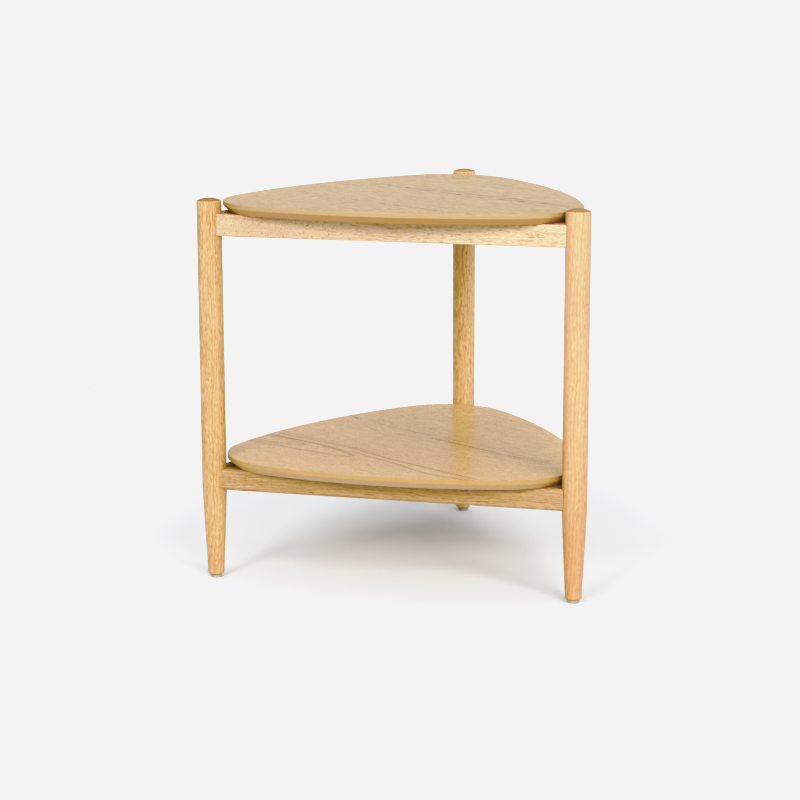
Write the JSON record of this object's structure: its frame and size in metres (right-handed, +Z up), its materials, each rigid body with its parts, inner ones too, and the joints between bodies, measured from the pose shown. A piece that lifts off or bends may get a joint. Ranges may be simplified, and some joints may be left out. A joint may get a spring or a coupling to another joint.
{
  "type": "side table",
  "caption": "Side table with round tapered legs, a rounded triangular top and a matching lower shelf, each lying on a triangle of wooden rails.",
  "frame": {"origin": "middle of the table's bounding box, on the floor", "axes": "+Z up, -Y towards the front rails, which run along X between the left and right legs, +Y towards the back leg"},
  "size_m": [0.558, 0.5318, 0.55],
  "materials": {
    "leg_wood": "turned light hardwood, warm honey tone, satin clear lacquer, grain along the leg",
    "rail_wood": "sawn light hardwood, pale straw tone with short dark pores, satin clear lacquer, grain along the rail",
    "shelf_veneer": "pale oak veneer on both faces with fine open grain, smooth yellow-tan lacquered edge",
    "dowel_beech": "plain beech",
    "screw_steel": "yellowish zinc plate",
    "glide_plastic": "pale grey, matt",
    "nail_steel": "bright steel"
  },
  "bodies": {
    "root": {"leg_left": "leg_wood", "glide_left": "glide_plastic", "glide_nail_left": "nail_steel", "leg_right": "leg_wood", "glide_right": "glide_plastic", "glide_nail_right": "nail_steel", "leg_back": "leg_wood", "glide_back": "glide_plastic", "glide_nail_back": "nail_steel", "upper_rail_front": "rail_wood", "upper_rail_right": "rail_wood", "upper_rail_left": "rail_wood", "lower_rail_front": "rail_wood", "lower_rail_right": "rail_wood", "lower_rail_left": "rail_wood", "dowel_upper_front_rail_to_left_leg_low": "dowel_beech", "dowel_upper_front_rail_to_left_leg_high": "dowel_beech", "dowel_upper_front_rail_to_right_leg_low": "dowel_beech", "dowel_upper_front_rail_to_right_leg_high": "dowel_beech", "dowel_upper_right_rail_to_right_leg_low": "dowel_beech", "dowel_upper_right_rail_to_right_leg_high": "dowel_beech", "dowel_upper_right_rail_to_back_leg_low": "dowel_beech", "dowel_upper_right_rail_to_back_leg_high": "dowel_beech", "dowel_upper_left_rail_to_back_leg_low": "dowel_beech", "dowel_upper_left_rail_to_back_leg_high": "dowel_beech", "dowel_upper_left_rail_to_left_leg_low": "dowel_beech", "dowel_upper_left_rail_to_left_leg_high": "dowel_beech", "dowel_lower_front_rail_to_left_leg_low": "dowel_beech", "dowel_lower_front_rail_to_left_leg_high": "dowel_beech", "dowel_lower_front_rail_to_right_leg_low": "dowel_beech", "dowel_lower_front_rail_to_right_leg_high": "dowel_beech", "dowel_lower_right_rail_to_right_leg_low": "dowel_beech", "dowel_lower_right_rail_to_right_leg_high": "dowel_beech", "dowel_lower_right_rail_to_back_leg_low": "dowel_beech", "dowel_lower_right_rail_to_back_leg_high": "dowel_beech", "dowel_lower_left_rail_to_back_leg_low": "dowel_beech", "dowel_lower_left_rail_to_back_leg_high": "dowel_beech", "dowel_lower_left_rail_to_left_leg_low": "dowel_beech", "dowel_lower_left_rail_to_left_leg_high": "dowel_beech", "screw_upper_front_rail_near_left_leg": "screw_steel", "screw_upper_front_rail_near_right_leg": "screw_steel", "screw_upper_right_rail_near_right_leg": "screw_steel", "screw_upper_right_rail_near_back_leg": "screw_steel", "screw_upper_left_rail_near_back_leg": "screw_steel", "screw_upper_left_rail_near_left_leg": "screw_steel", "screw_lower_front_rail_near_left_leg": "screw_steel", "screw_lower_front_rail_near_right_leg": "screw_steel", "screw_lower_right_rail_near_right_leg": "screw_steel", "screw_lower_right_rail_near_back_leg": "screw_steel", "screw_lower_left_rail_near_back_leg": "screw_steel", "screw_lower_left_rail_near_left_leg": "screw_steel", "table_top": "shelf_veneer", "lower_shelf": "shelf_veneer"}
  },
  "joints": []
}
